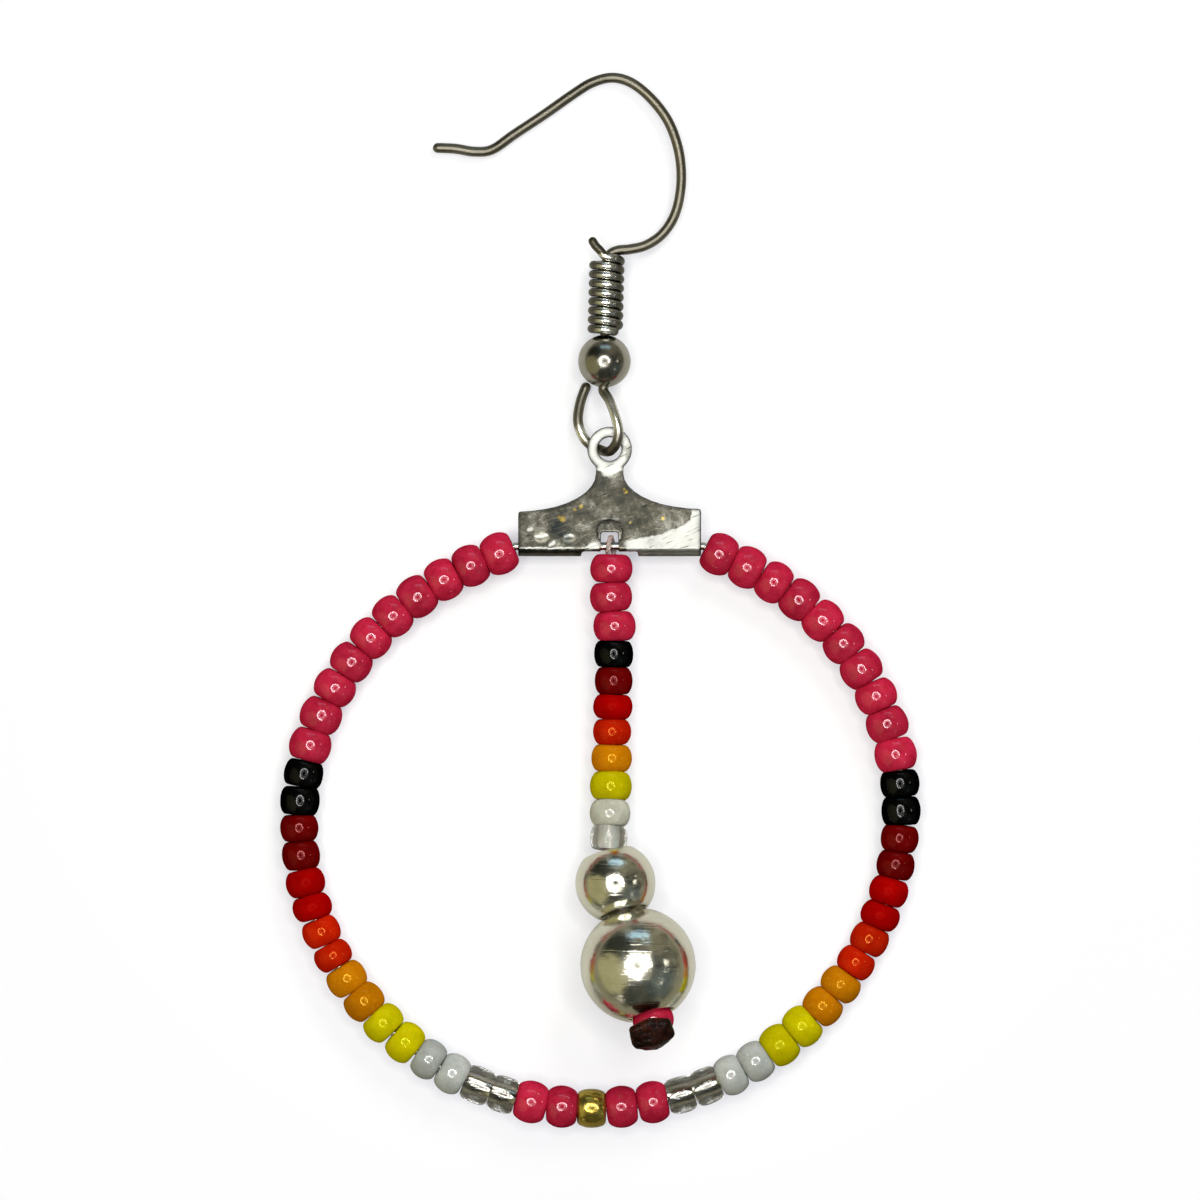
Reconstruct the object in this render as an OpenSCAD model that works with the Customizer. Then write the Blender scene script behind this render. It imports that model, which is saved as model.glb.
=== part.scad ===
// Drop earring lying face up: a fish-hook ear wire, a folded connector, a hoop of seed beads on a
// wire, and a beaded strand with two mirror balls that hangs inside the hoop. Millimetres, +Z up.
// Places are measured from the middle of the hoop, and on_place shifts them to the part's own middle.

/* [Hoop] */
// Radius of the hoop's wire, to its middle
hoop_r = 14.64; // [14.4:0.02:14.9]
// How far the hoop is out of round
hoop_oval = 0.42; // [0.3:0.02:0.5]
// Direction of the hoop's long axis, in degrees from +X
hoop_turn = 13; // [10:1:16]
// How far the hoop's top is pressed flat
hoop_flat = 0.08; // [0.04:0.02:0.12]
// Thickness of the hoop's wire
hoop_wire_d = 0.4; // [0.36:0.02:0.42]
// Height of the hoop's wire above the floor
hoop_wire_z = 1.09; // [1.09:0.01:1.12]

/* [Seed beads] */
// Radius of the hole through a seed bead
bead_bore = 0.42; // [0.38:0.02:0.42]
// Radius of a seed bead's rounded edges
bead_round = 0.5; // [0.3:0.05:0.5]
// Clear space between two seed beads of the hoop, along the wire
bead_gap = 0.2; // [0.18:0.01:0.24]
// How unequal the seed beads are, as a share of their length
bead_uneven = 0.05; // [0:0.01:0.06]

/* [Ear hook] */
// Thickness of the ear wire
hook_wire_d = 0.5; // [0.45:0.01:0.5]
// Thickness of the coil's wire
coil_wire_d = 0.44; // [0.4:0.01:0.44]
// Whole turns of the coil
coil_turns = 8; // [6:1:8]
// Rise of the coil in one turn
coil_pitch = 0.456; // [0.452:0.002:0.456]
// Radius of the coil, to the middle of its wire
coil_r = 0.67; // [0.64:0.01:0.7]
// Radius of the small ball on the ear wire
hook_ball_r = 1.32; // [1.3:0.01:1.32]

/* [Connector] */
// Width of the connector's bar
bar_w = 9.15; // [8.9:0.05:9.2]
// Thickness of the connector's sheet
sheet_t = 0.3; // [0.26:0.01:0.3]
// Outer radius of the connector's ring
ring_r = 1.13; // [1.08:0.01:1.15]
// Radius of the hole in the connector's ring
ring_hole_r = 0.57; // [0.56:0.01:0.6]
// Radius of the round hole over the hoop's wire
thread_hole_r = 0.6; // [0.55:0.01:0.62]

/* [Drop] */
// Thickness of the thread
thread_d = 0.3; // [0.24:0.01:0.3]
// Radius of the smaller mirror ball
small_ball_r = 2; // [1.95:0.01:2]
// Radius of the larger mirror ball
large_ball_r = 2.87; // [2.84:0.01:2.89]
// Radius of the holes in both mirror balls
mouth_r = 1.16; // [1.14:0.01:1.17]

/* [Hidden] */
$fn = 32;

// Middle of the hoop in the part's frame, whose origin is under the middle of its outline
hoop_place = [0, -11, 0];

// Kinds of seed bead: name, colour, radius, length
KINDS = [
    ["pink", "crimson", 1.08, 1.36],
    ["black", "black", 1.0, 1.18],
    ["dark_red", "darkred", 0.97, 1.2],
    ["red", "firebrick", 1.01, 1.1],
    ["orange", "orangered", 0.98, 1.14],
    ["amber", "darkorange", 1.04, 1.22],
    ["yellow", "gold", 1.07, 1.27],
    ["white", "whitesmoke", 1.04, 1.24],
    ["crystal", "gainsboro", 0.94, 1.15],
    ["gold", "darkgoldenrod", 1.0, 1.3]
];
KIND_COLOUR = 1;
KIND_R = 2;
KIND_LEN = 3;
function kind(name) = KINDS[search([name], KINDS, 1, 0)[0]];

// One side of the hoop from the connector down: kind of bead, how many
SIDE = [["pink", 10], ["black", 2], ["dark_red", 2], ["red", 2], ["orange", 2], ["amber", 2],
        ["yellow", 2], ["white", 2], ["crystal", 2], ["pink", 2]];
side_count = len(SIDE);
function side_name(side, k) = str("hoop_", side, "_", k == side_count - 1 ? "low_" : "", SIDE[k][0]);

// Runs of one colour along the wire, down the right side and up the left: node, kind, how many
RUNS = concat(
    [for (k = [0 : side_count - 1]) [side_name("right", k), SIDE[k][0], SIDE[k][1]]],
    [["hoop_gold", "gold", 1]],
    [for (k = [side_count - 1 : -1 : 0]) [side_name("left", k), SIDE[k][0], SIDE[k][1]]]);
RUN_NODE = 0;
RUN_KIND = 1;
RUN_COUNT = 2;

// Seed beads of the drop from the top: node, kind, x, y
DROP = [
    ["drop_pink_1", "pink", 0.57, 12.6],
    ["drop_pink_2", "pink", 0.55, 11.15],
    ["drop_pink_3", "pink", 0.72, 9.71],
    ["drop_black", "black", 0.68, 8.32],
    ["drop_dark_red", "dark_red", 0.68, 6.97],
    ["drop_red", "red", 0.64, 5.68],
    ["drop_orange", "orange", 0.6, 4.42],
    ["drop_amber", "amber", 0.58, 3.11],
    ["drop_yellow", "yellow", 0.54, 1.73],
    ["drop_white", "white", 0.5, 0.35],
    ["drop_crystal", "crystal", 0.44, -0.86]
];
DROP_NODE = 0;
DROP_KIND = 1;

// Vectors, curves and swept wires

function unit(v) = v / norm(v);
function sum_to(list, n) = n <= 0 ? 0 : list[n - 1] + sum_to(list, n - 1);

// A point between b and c of a smooth curve through a, b, c, d, at t from 0 to 1
function curve_point(a, b, c, d, t) =
    b + 0.5 * t * (c - a + t * (2 * a - 5 * b + 4 * c - d + t * (3 * b - 3 * c + d - a)));

// The smooth curve through all of p, with a number of steps from each point to the next
function curve(p, steps) = let (last = len(p) - 1) concat(
    [for (i = [0 : last - 1], k = [0 : steps - 1])
        curve_point(p[max(i - 1, 0)], p[i], p[i + 1], p[min(i + 2, last)], k / steps)],
    [p[last]]);

// Directions along a path, and a sideways direction carried along it without twist
function path_point(p, i, closed) = closed ? p[(i + len(p)) % len(p)] : p[min(max(i, 0), len(p) - 1)];
function directions(p, closed) =
    [for (i = [0 : len(p) - 1]) unit(path_point(p, i + 1, closed) - path_point(p, i - 1, closed))];
function square_to(side, along) = unit(side - (side * along) * along);
function carried(along, first) =
    [for (i = 0, s = square_to(first, along[0]); i < len(along);
          i = i + 1, s = square_to(s, along[min(i, len(along) - 1)])) s];

// A round wire of radius r along the path p
module wire(p, r, sides, closed = false, first = [0, 0, 1]) {
    along = directions(p, closed);
    side = carried(along, first);
    rings = len(p);
    points = [for (i = [0 : rings - 1], j = [0 : sides - 1])
        let (a = 360 * j / sides)
        p[i] + r * (cos(a) * side[i] + sin(a) * cross(along[i], side[i]))];
    walls = [for (i = [0 : rings - (closed ? 1 : 2)], j = [0 : sides - 1])
        let (a = i * sides, b = ((i + 1) % rings) * sides, k = (j + 1) % sides)
        for (face = [[a + j, b + j, b + k], [a + j, b + k, a + k]]) face];
    ends = closed ? [] : [
        [for (j = [0 : sides - 1]) j],
        [for (j = [sides - 1 : -1 : 0]) (rings - 1) * sides + j]];
    polyhedron(points, concat(walls, ends), convexity = 10);
}

// Sets its children at p, with their Z axis along d
module along_axis(p, d) {
    u = unit(d);
    translate(p) rotate([0, acos(u.z), atan2(u.y, u.x)]) children();
}

module on_place() { translate(hoop_place) children(); }

// Seed beads

function corner(x, y, from) =
    [for (k = [0 : 4]) let (a = from + 22.5 * k) [x + bead_round * cos(a), y + bead_round * sin(a)]];

// Half the section of a bead: a drilled, rounded drum
function bead_section(r, length) =
    let (x = r - bead_round, y = length / 2 - bead_round)
    concat([[bead_bore, -length / 2]], corner(x, -y, -90), corner(x, y, 0), [[bead_bore, length / 2]]);

module seed_bead(r, length) { rotate_extrude() polygon(bead_section(r, length)); }

// An even spread of values from -1 to 1 that looks irregular
function uneven(i) = sin(i * 137.5 + 40 * sin(i * 71));

// The hoop's wire: straight through the connector, then round the oval

wire_y = 13.68;
connector_x = 0.48;
bar_half = bar_w / 2;
bar_clear = 0.12;
first_angle = 64;
last_angle = -248;
angle_step = 4;

function hoop_radius(a) = hoop_r + hoop_oval * cos(2 * (a - hoop_turn)) + hoop_flat * sin(3 * a);
function hoop_point(a) = hoop_radius(a) * [cos(a), sin(a)];
function at_height(p, z) = [p.x, p.y, z];
hoop_ends = [for (s = [1, -1]) [connector_x + s * (bar_half + bar_clear), wire_y]];
hoop_path = concat(
    [hoop_ends[0]],
    [for (a = [first_angle : -angle_step : last_angle]) hoop_point(a)],
    [hoop_ends[1]]);

// Distance along the wire at each point of its path, and the path by that distance
hoop_steps = [for (i = [1 : len(hoop_path) - 1]) norm(hoop_path[i] - hoop_path[i - 1])];
hoop_along = [for (i = [0 : len(hoop_steps)]) sum_to(hoop_steps, i)];
hoop_length = hoop_along[len(hoop_along) - 1];
x_by_length = [for (i = [0 : len(hoop_path) - 1]) [hoop_along[i], hoop_path[i].x]];
y_by_length = [for (i = [0 : len(hoop_path) - 1]) [hoop_along[i], hoop_path[i].y]];
function hoop_at(s) = [lookup(s, x_by_length), lookup(s, y_by_length)];

// Every bead of the hoop in order, with lengths that fill the wire
bead_kinds = [for (run = RUNS, k = [1 : run[RUN_COUNT]]) run[RUN_KIND]];
bead_total = len(bead_kinds);
raw_lengths = [for (i = [0 : bead_total - 1]) kind(bead_kinds[i])[KIND_LEN] * (1 + bead_uneven * uneven(i))];
bead_fill = (hoop_length - (bead_total + 1) * bead_gap) / sum_to(raw_lengths, bead_total);
bead_lengths = bead_fill * raw_lengths;
function bead_middle(i) = (i + 1) * bead_gap + sum_to(bead_lengths, i) + bead_lengths[i] / 2;
function first_bead(k) = k == 0 ? 0 : RUNS[k - 1][RUN_COUNT] + first_bead(k - 1);

module hoop_bead(i) {
    r = kind(bead_kinds[i])[KIND_R];
    s = bead_middle(i);
    reach = bead_lengths[i] / 2;
    heading = hoop_at(s + reach) - hoop_at(s - reach);
    along_axis(at_height(hoop_at(s), r), at_height(heading, 0)) seed_bead(r, bead_lengths[i]);
}

module hoop_run(k) {
    start = first_bead(k);
    color(kind(RUNS[k][RUN_KIND])[KIND_COLOUR])
        on_place() for (i = [start : start + RUNS[k][RUN_COUNT] - 1]) hoop_bead(i);
}

module hoop_wire() {
    color("silver") on_place()
        wire([for (p = hoop_path) at_height(p, hoop_wire_z)], hoop_wire_d / 2, 10, closed = true);
}

// The connector: one sheet, folded back round the hoop's wire

fold_in = hoop_wire_d / 2 + 0.02;
fold_out = fold_in + sheet_t;
ring_y = 18.52;
neck_half = 0.7;
neck_y = 17.31;
shoulder_y = [15.43, 15.56];
corner_r = 0.14;
flap_h = 1.42;
hole_y = 14.37;
slot_w = 0.84;
notch_w = 2.8;
notch_h = 0.24;
sheet_z = hoop_wire_z + fold_in;

// Neck, hollow shoulders with rounded tips and bar, left open at the ring's end
function shoulder(s) = let(low = shoulder_y[s > 0 ? 1 : 0]) concat(
    [for (t = [0 : 10 : 80])
        [s * (bar_half - (bar_half - neck_half) * cos(t)), neck_y - (neck_y - low) * sin(t)]],
    [for (t = [0 : 30 : 90])
        [s * (bar_half - corner_r + corner_r * sin(t)), low - corner_r + corner_r * cos(t)]]);
shoulder_outline = concat(
    [[-neck_half, ring_y - ring_r * 0.6], [neck_half, ring_y - ring_r * 0.6]],
    shoulder(1),
    [[bar_half, wire_y], [-bar_half, wire_y]],
    [for (i = [12 : -1 : 0]) shoulder(-1)[i]]);

module front_sheet() {
    translate([0, 0, sheet_z]) linear_extrude(sheet_t) difference() {
        union() {
            translate([0, ring_y]) circle(ring_r);
            polygon(shoulder_outline);
        }
        translate([0, ring_y]) circle(ring_hole_r);
    }
}

module fold() {
    translate([-bar_half, wire_y, hoop_wire_z]) rotate([90, 0, 90]) linear_extrude(bar_w) difference() {
        circle(fold_out);
        circle(fold_in);
        translate([0, -2 * fold_out]) square(4 * fold_out);
    }
}

module flap() {
    translate([-bar_half, wire_y, hoop_wire_z - fold_out]) cube([bar_w, flap_h, sheet_t]);
}

module connector_cuts() {
    translate([0, hole_y, hoop_wire_z]) cylinder(h = 3, r = thread_hole_r);
    translate([-slot_w / 2, wire_y - 2, 0]) cube([slot_w, hole_y - wire_y + 2, 3]);
    translate([-notch_w / 2, wire_y - fold_out - 1, 0]) cube([notch_w, 1 + notch_h, 3]);
}

module connector() {
    color("lightgray") on_place() translate([connector_x, 0, 0]) difference() {
        union() {
            front_sheet();
            fold();
            flap();
        }
        connector_cuts();
    }
}

// The ear hook: one wire. Its shank runs straight through the coil and the ball

ball_place = [0.22, 22.9, hook_ball_r];
shank = unit([0.026, 1, -0.075]);
function on_shank(y) = ball_place + shank * (y - ball_place.y) / shank.y;

// The hook sinks to the floor away from the ball, down to the arch and to the tip
lie_back = 0.075;
lie_left = 0.031;
function lying(x, y) = [x, y, hook_ball_r - lie_back * (y - ball_place.y) + lie_left * (x - ball_place.x)];

// From the tip over the arch and round the rear bulge
HOOK_ROUTE = [[-8.35, 33.6], [-7.25, 33.55], [-6.3, 33.4], [-5.4, 33.5], [-4.3, 34.25], [-2.8, 35.25],
              [-1.3, 36.3], [-0.4, 36.85], [0.6, 37.1], [1.55, 36.85], [2.5, 36.1], [3.35, 35],
              [3.85, 33.75], [4.05, 32.5], [4, 31.3], [3.7, 30.15], [3.1, 29.25], [2.3, 28.7],
              [1.5, 28.5], [0.95, 28.45], [0.57, 28.3]];
shank_top = 28.02;

// Below the ball: over the ring's right, down through its hole, and up the left to the ball
LOOP_ROUTE = [[0.46, 20.95, 1.66], [0.76, 20.15, 1.93], [0.92, 19.4, 2.04], [0.83, 18.85, 1.96],
              [0.6, 18.5, 1.66], [0.36, 18.4, 1.3], [0, 18.5, 0.99], [-0.5, 18.75, 0.86],
              [-0.9, 19.25, 0.8], [-1.1, 19.95, 0.71], [-1.02, 20.7, 0.53], [-0.82, 21.35, 0.38],
              [-0.6, 21.85, 0.3]];

module ear_hook() {
    upper = concat([for (p = HOOK_ROUTE) lying(p.x, p.y)], [on_shank(shank_top), on_shank(shank_top - 0.5)]);
    lower = concat([on_shank(21.9), on_shank(21.65), on_shank(21.4)], LOOP_ROUTE);
    color("gray") on_place() wire(concat(curve(upper, 4), curve(lower, 4)), hook_wire_d / 2, 12);
}

coil_start = 24.32;
coil_steps = 18;
coil_first = 30;

module hook_coil() {
    e1 = square_to([1, 0, 0], shank);
    e2 = cross(e1, shank);
    base = on_shank(coil_start);
    turns = [for (k = [0 : coil_turns * coil_steps + (90 - coil_first) * coil_steps / 360])
        let (a = coil_first + 360 * k / coil_steps)
        base + shank * coil_pitch * k / coil_steps + coil_r * (cos(a) * e1 + sin(a) * e2)];
    top = turns[len(turns) - 1];
    tail = [top + [-0.18, 0.12, 0], top + [-0.36, 0.34, -0.04], top + [-0.6, 0.6, -0.1],
            top + [-0.82, 0.98, -0.18]];
    color("gray") on_place() wire(concat(turns, tail), coil_wire_d / 2, 8, first = [0, 1, 0]);
}

module hook_ball() {
    color("silver") on_place() difference() {
        translate(ball_place) sphere(hook_ball_r);
        along_axis(ball_place, shank) cylinder(h = 4 * hook_ball_r, r = hook_wire_d / 2 + 0.04, center = true);
    }
}

// The drop: seed beads on a thread that climbs to the middle of the balls

climb_y = 3.5;
climb = 0.0215;
function thread_z(y) = hoop_wire_z + climb * pow(max(climb_y - y, 0), 2);
function drop_point(bead) = [bead[2], bead[3], thread_z(bead[3])];
drop_points = [for (bead = DROP) drop_point(bead)];

// Both balls rest on the floor, and their hole rims meet on one slanting axis
function rim(ball_r) = sqrt(ball_r * ball_r - mouth_r * mouth_r);
rim_gap = 0.04;
ball_step = rim(small_ball_r) + rim(large_ball_r) + rim_gap;
ball_tilt = asin((large_ball_r - small_ball_r) / ball_step);
ball_swing = 15.4;
ball_axis = [sin(ball_swing) * cos(ball_tilt), -cos(ball_swing) * cos(ball_tilt), sin(ball_tilt)];
small_place = [0.77, -3.09, small_ball_r];
large_place = small_place + ball_step * ball_axis;

// The end bead sits a little way into the large ball's lower mouth
end_r = 1.05;
end_len = 1.36;
end_out = 2.88;
end_place = large_place + end_out * ball_axis;
knot_start = end_out + end_len / 2;

module drop_bead(i) {
    bead = DROP[i];
    ahead = drop_points[min(i + 1, len(DROP) - 1)];
    behind = drop_points[max(i - 1, 0)];
    k = kind(bead[DROP_KIND]);
    color(k[KIND_COLOUR]) on_place() along_axis(drop_points[i], ahead - behind) seed_bead(k[KIND_R], k[KIND_LEN] * 0.94);
}

// Two strands in the top beads, joined in a loop round the hoop's wire
strand = thread_d / 2 + 0.02;
loop_reach = hoop_wire_d / 2 + thread_d / 2 + 0.09;

module drop_thread() {
    x = 0.54;
    z = hoop_wire_z;
    loop = [[x + strand, 12.3, z], [x + strand, 12.9, z - 0.02], [x + strand, 13.26, z - 0.12],
            [x + 0.1, wire_y, z - loop_reach], [x, wire_y + loop_reach, z], [x - 0.1, wire_y, z + loop_reach],
            [x - strand, 13.26, z + 0.12], [x - strand, 12.9, z + 0.02], [x - strand, 12.3, z]];
    beads = [for (i = [1 : len(DROP) - 1]) drop_points[i]];
    balls = [[0.5, -1.9, 1.72], small_place, large_place, large_place + ball_axis * knot_start];
    color("gainsboro") on_place() wire(curve(concat(loop, beads, balls), 4), thread_d / 2, 8);
}

module mirror_ball(p, r) {
    color("silver") on_place() difference() {
        translate(p) sphere(r);
        along_axis(p, ball_axis) cylinder(h = 4 * r, r = mouth_r, center = true);
    }
}

module end_bead() {
    color("crimson") on_place() along_axis(end_place, ball_axis) seed_bead(end_r, end_len);
}

// Lumps of the burnt knot: distance along the axis, sideways, upwards, radius
KNOT_FRONT = [[3.98, -0.22, 0.05, 0.38], [3.96, -0.68, 0.6, 0.36], [3.94, 0.3, 0.55, 0.34],
              [3.88, -1, 1, 0.36], [3.86, 0.62, 0.95, 0.3], [3.94, -0.15, 1.1, 0.4]];
KNOT_BACK = [[3.88, -1, 1, 0.36], [3.86, 0.62, 0.95, 0.3], [3.94, -0.15, 1.1, 0.4],
             [3.32, -1, 1.38, 0.3], [3.2, -0.15, 1.58, 0.3], [3.4, 0.62, 1.34, 0.28]];

module knot_hull(lumps) {
    sideways = unit(cross([0, 0, 1], ball_axis));
    upwards = cross(ball_axis, sideways);
    hull() for (m = lumps)
        translate(large_place + m[0] * ball_axis + m[1] * sideways + m[2] * upwards) sphere(m[3], $fn = 16);
}

module end_knot() {
    color("saddlebrown") on_place() union() {
        knot_hull(KNOT_FRONT);
        knot_hull(KNOT_BACK);
    }
}

ear_hook();
hook_coil();
hook_ball();
connector();
hoop_wire();
for (k = [0 : len(RUNS) - 1]) hoop_run(k);
drop_thread();
for (i = [0 : len(DROP) - 1]) drop_bead(i);
mirror_ball(small_place, small_ball_r);  // small_ball
mirror_ball(large_place, large_ball_r);  // large_ball
end_bead();
end_knot();
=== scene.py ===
from math import asin, cos, exp, hypot, pi, radians, sin, sqrt

import bmesh
import bpy
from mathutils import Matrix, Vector, noise
from mathutils.kdtree import KDTree


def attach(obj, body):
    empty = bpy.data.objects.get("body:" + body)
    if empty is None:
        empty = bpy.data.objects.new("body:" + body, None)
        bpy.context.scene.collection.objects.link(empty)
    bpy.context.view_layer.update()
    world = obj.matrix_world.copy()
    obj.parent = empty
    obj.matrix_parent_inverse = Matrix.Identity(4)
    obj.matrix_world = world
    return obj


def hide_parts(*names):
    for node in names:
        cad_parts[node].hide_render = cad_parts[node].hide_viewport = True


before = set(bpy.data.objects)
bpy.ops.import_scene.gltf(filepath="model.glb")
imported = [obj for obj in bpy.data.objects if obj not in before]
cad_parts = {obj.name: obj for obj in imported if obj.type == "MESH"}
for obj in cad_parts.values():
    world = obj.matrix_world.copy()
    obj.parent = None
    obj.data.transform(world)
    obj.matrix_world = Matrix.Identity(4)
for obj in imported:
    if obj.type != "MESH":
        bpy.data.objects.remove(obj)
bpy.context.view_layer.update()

mm = 0.001
hoopMiddle = Vector((0, -11, 0))        # places below are in mm, counted from the hoop's middle
print("frame loaded")


# Small helpers

def toMetres(p):
    return (Vector(p) + hoopMiddle) * mm


def fromMetres(p):
    return Vector(p) / mm - hoopMiddle


def newObject(name, data):
    obj = bpy.data.objects.new(name, data)
    bpy.context.scene.collection.objects.link(obj)
    return obj


def placeCad(obj, slotName, *nodes):
    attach(obj, "root")
    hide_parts(*nodes)
    return obj


def smoothFaces(mesh):
    mesh.polygons.foreach_set("use_smooth", [True] * len(mesh.polygons))
    mesh.update()


def fillAttribute(mesh, name, values):
    mesh.attributes.new(name, "FLOAT", "POINT").data.foreach_set("value", values)


def upToOne(value):                     # held between nothing and all
    return min(max(value, 0.0), 1.0)


def curvePoints(route, steps):          # smooth curve through the route, the same rule as the solid wire
    last = len(route) - 1
    route = [Vector(p) for p in route]
    out = []
    for i in range(last):
        a, b, c, d = route[max(i - 1, 0)], route[i], route[i + 1], route[min(i + 2, last)]
        for k in range(steps):
            t = k / steps
            out.append(b + 0.5 * t * (c - a + t * (2 * a - 5 * b + 4 * c - d + t * (3 * b - 3 * c + d - a))))
    return out + [route[last]]


def alongRoute(route):
    lengths = [0.0]
    for a, b in zip(route, route[1:]):
        lengths.append(lengths[-1] + (b - a).length)
    return lengths


def pointAlong(route, lengths, s):
    s = min(max(s, 0.0), lengths[-1])
    i = next(k for k in range(1, len(route)) if lengths[k] >= s)
    return route[i - 1].lerp(route[i], (s - lengths[i - 1]) / (lengths[i] - lengths[i - 1]))


def unevenness(i):                      # the irregular spread of the part's source
    return sin(radians(i * 137.5 + 40 * sin(radians(i * 71))))


# Node helpers

def setInputs(tree, node, values):      # links what is a node or a socket, and sets the rest
    for key, value in values.items():
        socket = node.inputs[key]
        if isinstance(value, bpy.types.Node):
            value = value.outputs[0]
        if isinstance(value, bpy.types.NodeSocket):
            tree.links.new(value, socket)
        else:
            socket.default_value = (*value, 1) if socket.type == "RGBA" else value


def addNode(tree, kind, where, inputs=None, **settings):
    node = tree.nodes.new(kind)
    node.location = where
    for key, value in settings.items():
        setattr(node, key, value)
    setInputs(tree, node, inputs or {})
    return node


def newTree(name, kind, inputs, outputs):       # a node group; gives its tree, its inputs and its output node
    tree = bpy.data.node_groups.new(name, kind)
    for inOut, sockets in (("INPUT", inputs), ("OUTPUT", outputs)):
        for label, socketKind, *value in sockets:
            item = tree.interface.new_socket(name=label, in_out=inOut, socket_type="NodeSocket" + socketKind)
            if value:
                item.default_value = value[0]
    return tree, addNode(tree, "NodeGroupInput", (-1700, 0)).outputs, addNode(tree, "NodeGroupOutput", (2000, 0))


def mathNode(tree, operation, a, b, where, third=None, clamp=False):
    values = {i: value for i, value in enumerate((a, b, third)) if value is not None}
    return addNode(tree, "ShaderNodeMath", where, values, operation=operation, use_clamp=clamp).outputs[0]


def ramp(tree, where, socket, *stops):
    node = addNode(tree, "ShaderNodeValToRGB", where, {0: socket})
    elements = node.color_ramp.elements
    elements.remove(elements[-1])
    elements[0].position, elements[0].color = stops[0][0], (*stops[0][1], 1)
    for position, colour in stops[1:]:
        elements.new(position).color = (*colour, 1)
    return node.outputs[0]


def mapTo(tree, where, socket, low, high, fromLow=0.0, fromHigh=1.0):
    return addNode(tree, "ShaderNodeMapRange", where, {"Value": socket, "From Min": fromLow, "From Max": fromHigh,
                                                       "To Min": low, "To Max": high}).outputs[0]


def mixColour(tree, where, amount, first, second):
    return addNode(tree, "ShaderNodeMix", where, {0: amount, 6: first, 7: second}, data_type="RGBA").outputs[2]


def bump(tree, where, height, distance):
    return addNode(tree, "ShaderNodeBump", where, {"Height": height, "Distance": distance}).outputs[0]


def readMark(tree, where, name):        # an attribute that a mesh carries
    return addNode(tree, "ShaderNodeAttribute", where, attribute_name=name).outputs["Fac"]


def keepShape(obj):                     # turns the object's modifiers into a plain mesh
    bpy.context.view_layer.update()
    graph = bpy.context.evaluated_depsgraph_get()
    mesh = bpy.data.meshes.new_from_object(obj.evaluated_get(graph), preserve_all_data_layers=True, depsgraph=graph)
    obj.modifiers.clear()
    old = obj.data
    obj.data = mesh
    mesh.name = obj.name
    bpy.data.meshes.remove(old)
    return obj


def grownBy(base, tree, **values):      # runs a geometry tree on base and keeps its result
    modifier = base.modifiers.new("shape", "NODES")
    modifier.node_group = tree
    identifiers = {item.name: item.identifier for item in tree.interface.items_tree
                   if item.item_type == "SOCKET" and item.in_out == "INPUT"}
    for name, value in values.items():
        modifier[identifiers[name.replace("_", " ")]] = value
    return keepShape(base)


# Geometry: slow noise in and out along the surface, for both trees

def unevenSurface(tree, given, shape, scale, middle, x):
    here = addNode(tree, "GeometryNodeInputPosition", (x - 180, -240))
    lumps = addNode(tree, "ShaderNodeTexNoise", (x, -240),
                    {"Vector": here, "W": given["Seed"], "Scale": scale, "Detail": 1}, noise_dimensions="4D")
    swing = mathNode(tree, "SUBTRACT", lumps.outputs["Fac"], middle, (x + 180, -240))
    outward = addNode(tree, "GeometryNodeInputNormal", (x + 360, -440))
    amount = mathNode(tree, "MULTIPLY", swing, given["Unevenness"], (x + 360, -240))
    push = addNode(tree, "ShaderNodeVectorMath", (x + 540, -240), {0: outward, "Scale": amount}, operation="SCALE")
    moved = addNode(tree, "GeometryNodeSetPosition", (x + 540, 0), {"Geometry": shape, "Offset": push})
    return addNode(tree, "GeometryNodeSetShadeSmooth", (x + 720, 0), {"Geometry": moved})


# Geometry: a round wire along a path of points

def makeWireTree():
    tree, given, end = newTree("roundWire", "GeometryNodeTree", (
        ("Geometry", "Geometry"), ("Radius", "Float", 0.00025), ("Sides", "Int", 24), ("Unevenness", "Float", 0.0),
        ("Seed", "Float", 3.0), ("Finish", "Material")), (("Geometry", "Geometry"),))
    path = addNode(tree, "GeometryNodeMeshToCurve", (-600, 100), {"Mesh": given["Geometry"]})
    ring = addNode(tree, "GeometryNodeCurvePrimitiveCircle", (-600, -120),
                   {"Resolution": given["Sides"], "Radius": given["Radius"]})
    thickness = addNode(tree, "GeometryNodeInputNamedAttribute", (-600, -300), {"Name": "thickness"},
                        data_type="FLOAT").outputs["Attribute"]
    sweep = addNode(tree, "GeometryNodeCurveToMesh", (-380, 0),
                    {"Curve": path, "Profile Curve": ring, "Scale": thickness, "Fill Caps": True})
    uneven = unevenSurface(tree, given, sweep, 700, 0.5, -200)
    realize = addNode(tree, "GeometryNodeRealizeInstances", (700, 0), {"Geometry": uneven})
    finish = addNode(tree, "GeometryNodeSetMaterial", (880, 0), {"Geometry": realize, "Material": given["Finish"]})
    setInputs(tree, end, {"Geometry": finish})
    return tree


# Geometry: seed beads on a row of points, each point with its heading, girth and reach

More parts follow.
